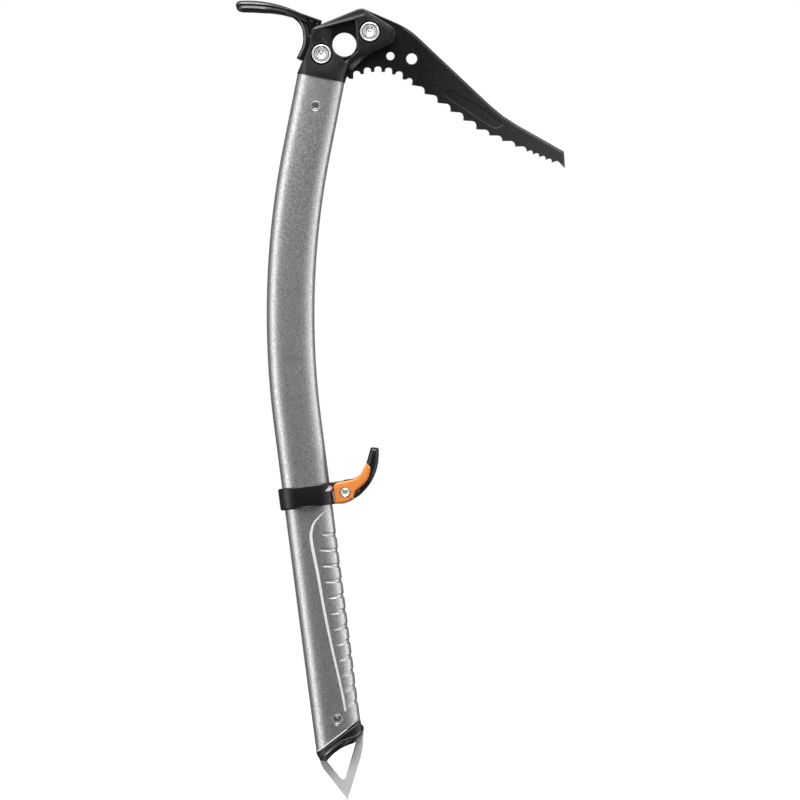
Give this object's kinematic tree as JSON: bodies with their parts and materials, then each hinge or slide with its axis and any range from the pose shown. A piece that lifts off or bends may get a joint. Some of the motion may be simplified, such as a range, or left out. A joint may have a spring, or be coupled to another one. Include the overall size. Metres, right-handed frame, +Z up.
{
  "type": "ice axe",
  "caption": "Technical ice axe with a bent oval shaft, bolted toothed pick and dished adze, slanted spike with an eye, and a sliding hand rest clamped by a cam lever.",
  "frame": {"origin": "centre of the carabiner hole in the head, halfway through the head's thickness", "axes": "+X forward to the pick, +Z up from the spike to the head, +Y across the head along the carabiner hole"},
  "size_m": [0.2167, 0.044, 0.5254],
  "materials": {
    "shaft_metal": "satin, fine bead-blasted grain",
    "forged_black": "satin black coating",
    "pick_steel": "satin black coating on steel, bare at the tip",
    "adze_black": "glossy black paint over forged steel",
    "bolt_steel": "polished",
    "rivet_steel": "dull",
    "spike_steel": "satin",
    "black_plastic": "moulded, slightly glossy",
    "orange_plastic": "moulded satin",
    "pale_plastic": "moulded"
  },
  "bodies": {
    "axe": {"shaft_tube": "shaft_metal", "head_block": "forged_black", "pick": "pick_steel", "adze": "adze_black", "front_bolt": "bolt_steel", "front_nut": "bolt_steel", "rear_bolt": "bolt_steel", "rear_nut": "bolt_steel", "head_rivet": "rivet_steel", "spike": "spike_steel", "spike_ferrule": "black_plastic", "spike_rivet": "rivet_steel"},
    "rest": {"rest_band": "black_plastic", "rest_shoe": "pale_plastic"},
    "lever": {"lever_core": "black_plastic", "lever_cheek_near": "orange_plastic", "lever_cheek_far": "orange_plastic", "rest_screw": "bolt_steel", "rest_nut": "bolt_steel"}
  },
  "joints": [
    {"name": "rest_slide", "type": "slide", "parent": "axe", "child": "rest", "axis": [-0.1288, 0, 0.9917], "range_m": [-0.13, 0.04]},
    {"name": "lever_pivot", "type": "hinge", "parent": "rest", "child": "lever", "pos_m": [0.00062, 0, -0.29457], "axis": [0, -1, 0], "range_deg": [0, 50]}
  ]
}
